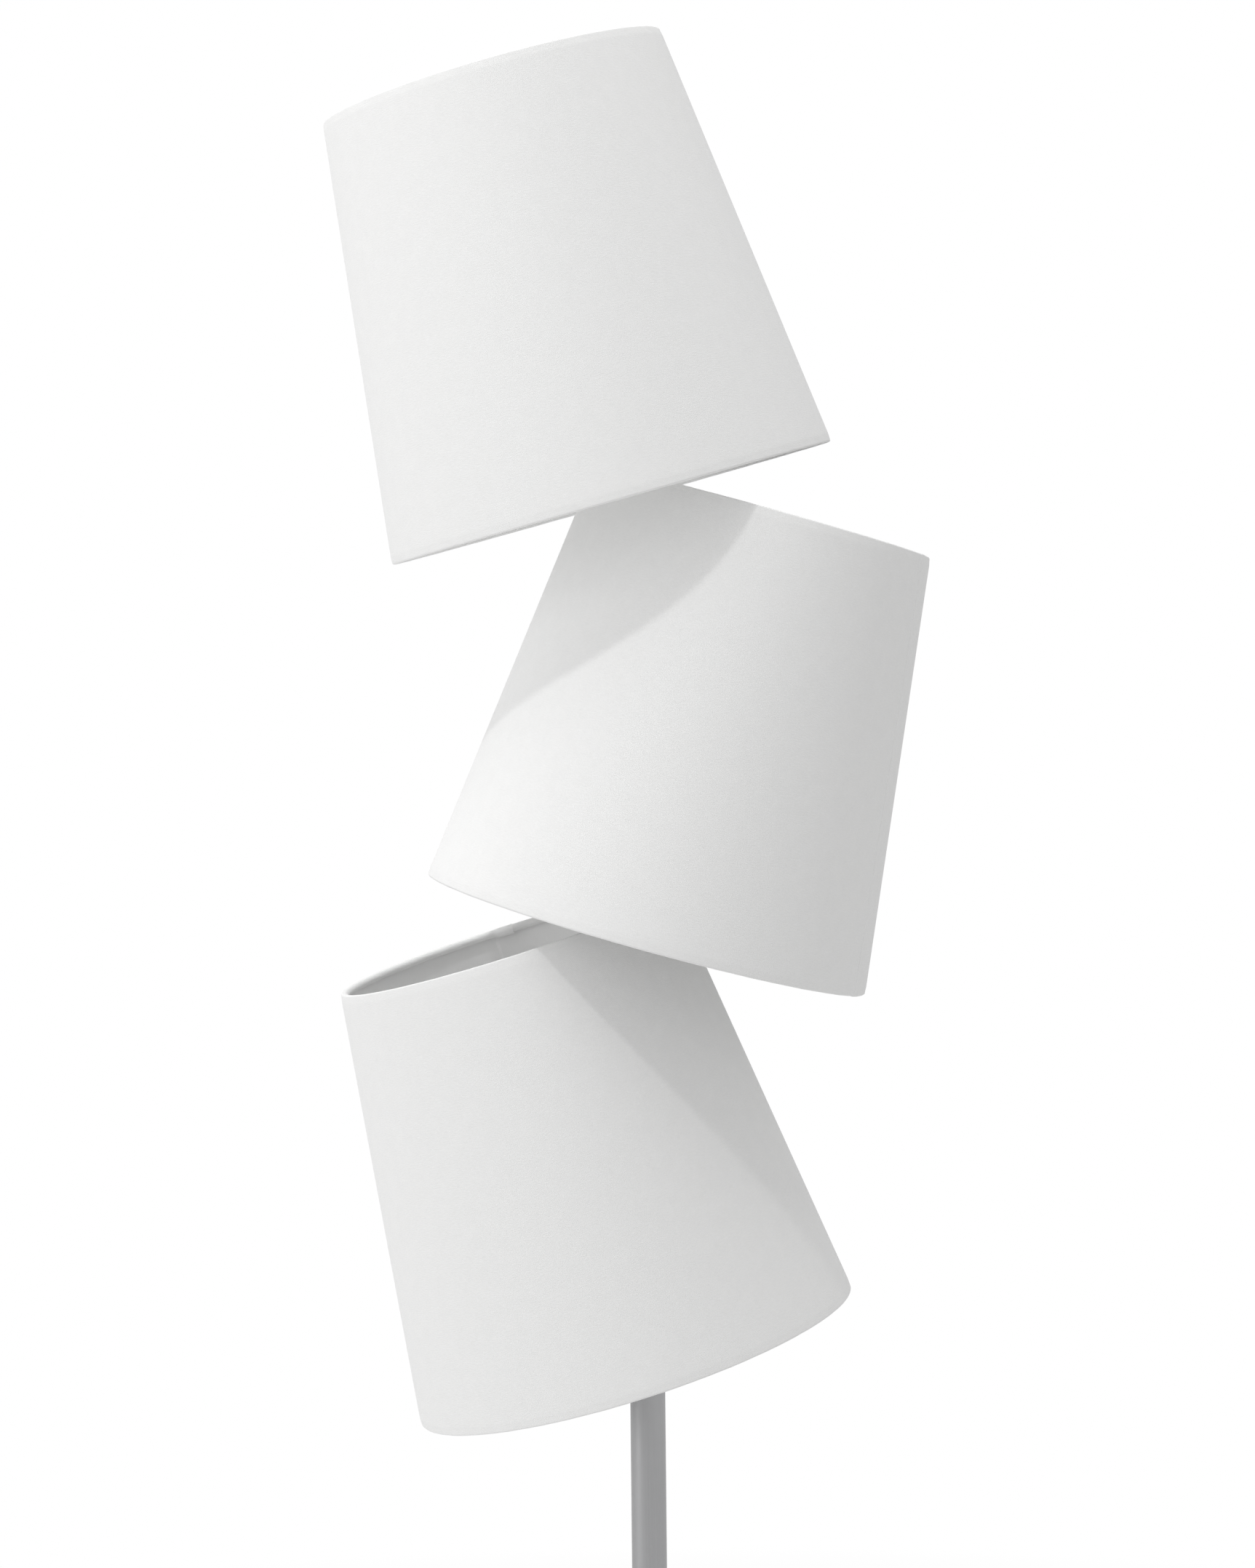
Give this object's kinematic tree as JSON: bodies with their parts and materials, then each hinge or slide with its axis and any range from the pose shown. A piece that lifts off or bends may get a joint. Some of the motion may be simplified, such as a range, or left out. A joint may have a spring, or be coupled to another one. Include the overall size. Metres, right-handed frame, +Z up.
{
  "type": "floor lamp",
  "caption": "Free-standing floor lamp: a round weighted base and a slim pole carry leaning, nested, tapered fabric shades that swivel about the pole.",
  "frame": {"origin": "centre of the base underside, on the floor, on the pole axis", "axes": "+Z up along the pole; +X to the right as the picture sees it, in the plane in which the shades lean; +Y away from the viewer, towards the cord inlet"},
  "size_m": [0.4227, 0.3204, 1.6994],
  "materials": {
    "shade_fabric": "fine plain weave, off-white, matte",
    "shade_liner": "smooth matte styrene",
    "white_wire": "white stove enamel",
    "white_plastic": "moulded, matte",
    "insulator": "glazed",
    "bulb_metal": "rolled",
    "opal_glass": "opal",
    "satin_steel": "satin, grey",
    "plated_steel": "zinc plated",
    "raw_iron": "black, cast",
    "felt": "felt",
    "dark_rubber": "soft, matte",
    "lead_sheath": "smooth sheath"
  },
  "bodies": {
    "stand": {"base_pad": "felt", "base_weight": "raw_iron", "base_cover": "satin_steel", "cable_grommet": "dark_rubber", "tie_tube": "plated_steel", "tie_nut": "plated_steel", "pole_foot": "satin_steel", "pole_lower": "satin_steel", "pole_middle": "satin_steel", "pole_upper": "satin_steel", "pole_couplers": "plated_steel", "pole_cap": "satin_steel", "trunk_lead": "lead_sheath", "stop_rings": "satin_steel"},
    "lower_unit": {"lower_shade_fabric": "shade_fabric", "lower_shade_liner": "shade_liner", "lower_top_ring": "white_wire", "lower_bottom_ring": "white_wire", "lower_spokes": "white_wire", "lower_fitter_ring": "white_wire", "lower_clamp_ring": "white_plastic", "lower_holder_cap": "white_plastic", "lower_holder_shell": "white_plastic", "lower_holder_core": "insulator", "lower_bulb_cap": "bulb_metal", "lower_bulb_glass": "opal_glass", "lower_swivel_arm": "satin_steel", "lower_collar_screw": "satin_steel", "lower_arm_lead": "lead_sheath"},
    "middle_unit": {"middle_shade_fabric": "shade_fabric", "middle_shade_liner": "shade_liner", "middle_top_ring": "white_wire", "middle_bottom_ring": "white_wire", "middle_spokes": "white_wire", "middle_fitter_ring": "white_wire", "middle_clamp_ring": "white_plastic", "middle_holder_cap": "white_plastic", "middle_holder_shell": "white_plastic", "middle_holder_core": "insulator", "middle_bulb_cap": "bulb_metal", "middle_bulb_glass": "opal_glass", "middle_swivel_arm": "satin_steel", "middle_collar_screw": "satin_steel", "middle_arm_lead": "lead_sheath"},
    "upper_unit": {"upper_shade_fabric": "shade_fabric", "upper_shade_liner": "shade_liner", "upper_top_ring": "white_wire", "upper_bottom_ring": "white_wire", "upper_spokes": "white_wire", "upper_fitter_ring": "white_wire", "upper_clamp_ring": "white_plastic", "upper_holder_cap": "white_plastic", "upper_holder_shell": "white_plastic", "upper_holder_core": "insulator", "upper_bulb_cap": "bulb_metal", "upper_bulb_glass": "opal_glass", "upper_swivel_arm": "satin_steel", "upper_collar_screw": "satin_steel", "upper_arm_lead": "lead_sheath"}
  },
  "joints": [
    {"name": "lower_swivel", "type": "hinge", "parent": "stand", "child": "lower_unit", "pos_m": [0, 0, 0.8594], "axis": [0, 0, 1], "range_deg": [-15, 15]},
    {"name": "middle_swivel", "type": "hinge", "parent": "stand", "child": "middle_unit", "pos_m": [0, 0, 1.15954], "axis": [0, 0, 1], "range_deg": [-15, 15]},
    {"name": "upper_swivel", "type": "hinge", "parent": "stand", "child": "upper_unit", "pos_m": [0, 0, 1.46416], "axis": [0, 0, 1], "range_deg": [-15, 15]}
  ]
}
